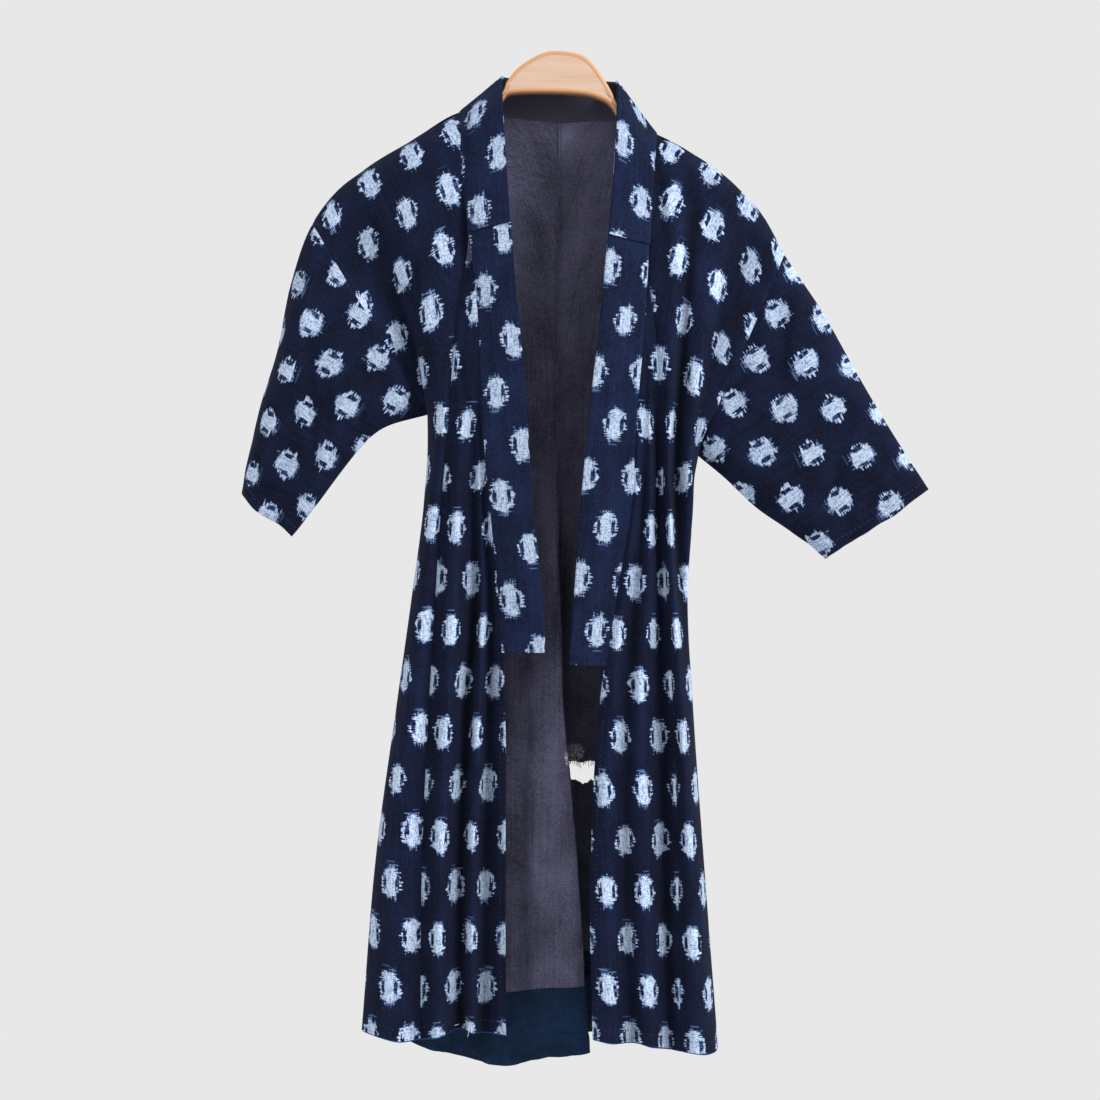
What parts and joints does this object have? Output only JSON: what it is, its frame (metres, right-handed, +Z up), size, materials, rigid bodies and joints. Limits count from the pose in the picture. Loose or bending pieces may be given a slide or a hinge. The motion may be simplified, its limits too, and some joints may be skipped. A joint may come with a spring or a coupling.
{
  "type": "kimono on a hanger",
  "caption": "Short indigo cotton kimono with white splashed spots, hung open on a plain wooden hanger, with tapered sleeves, a long collar band, a lined back and a worn hole.",
  "frame": {"origin": "the point in the middle of the hanger's back face where a stand or wall fitting holds it", "axes": "+Z up, -Y towards the viewer who sees the open front, +Y out of the hanger's back, +X to the viewer's right, which is the wearer's left"},
  "size_m": [0.7368, 0.1406, 1.0892],
  "materials": {
    "indigo_cotton": "plain-woven indigo cotton with white splashed spots, soft with wear",
    "indigo_collar": "the same cotton folded into a band",
    "faded_lining": "thin plain cotton, faded to a greyish purple",
    "teal_hem_lining": "thin plain cotton, dark blue-green",
    "maple": "pale maple under a satin lacquer"
  },
  "bodies": {
    "root": {"body_right": "indigo_cotton", "body_left": "indigo_cotton", "overlap_right": "indigo_cotton", "overlap_left": "indigo_cotton", "sleeve_right": "indigo_cotton", "sleeve_left": "indigo_cotton", "collar": "indigo_collar", "over_collar": "indigo_collar", "lining_right": "faded_lining", "lining_left": "faded_lining", "hem_band_right": "teal_hem_lining", "hem_band_left": "teal_hem_lining", "hanger": "maple"}
  },
  "joints": []
}
